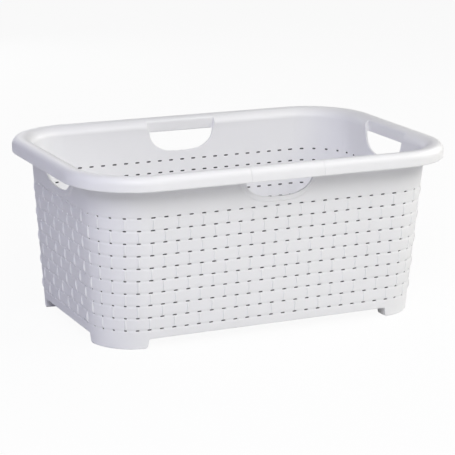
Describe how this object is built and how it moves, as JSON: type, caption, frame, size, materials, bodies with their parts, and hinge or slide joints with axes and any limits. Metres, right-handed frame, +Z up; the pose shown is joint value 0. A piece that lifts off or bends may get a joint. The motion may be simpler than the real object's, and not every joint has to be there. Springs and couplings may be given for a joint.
{
  "type": "laundry basket",
  "caption": "Open rectangular laundry basket with a rolled rim, a hand opening in each side, slotted woven-look walls and low corner feet.",
  "frame": {"origin": "on the ground under the centre of the basket", "axes": "+X along the basket's length, -Y out of the front long side, +Z up"},
  "size_m": [0.6, 0.4, 0.26],
  "materials": {
    "woven_wall": "white moulded plastic with a low brick-bond relief of flat tiles and thin ribs and small through slots, satin",
    "smooth_rim": "smooth white moulded plastic, satin with soft highlights",
    "floor": "white moulded plastic, slightly matter than the rim"
  },
  "bodies": {
    "root": {"front_wall": "woven_wall", "front_opening_surround": "smooth_rim", "front_grip": "smooth_rim", "right_wall": "woven_wall", "right_opening_surround": "smooth_rim", "right_grip": "smooth_rim", "rear_wall": "woven_wall", "rear_opening_surround": "smooth_rim", "rear_grip": "smooth_rim", "left_wall": "woven_wall", "left_opening_surround": "smooth_rim", "left_grip": "smooth_rim", "corner_wall_front_left": "woven_wall", "rim_front_left": "smooth_rim", "foot_front_left": "woven_wall", "corner_wall_front_right": "woven_wall", "rim_front_right": "smooth_rim", "foot_front_right": "woven_wall", "corner_wall_rear_left": "woven_wall", "rim_rear_left": "smooth_rim", "foot_rear_left": "woven_wall", "corner_wall_rear_right": "woven_wall", "rim_rear_right": "smooth_rim", "foot_rear_right": "woven_wall", "floor_panel": "floor"}
  },
  "joints": []
}
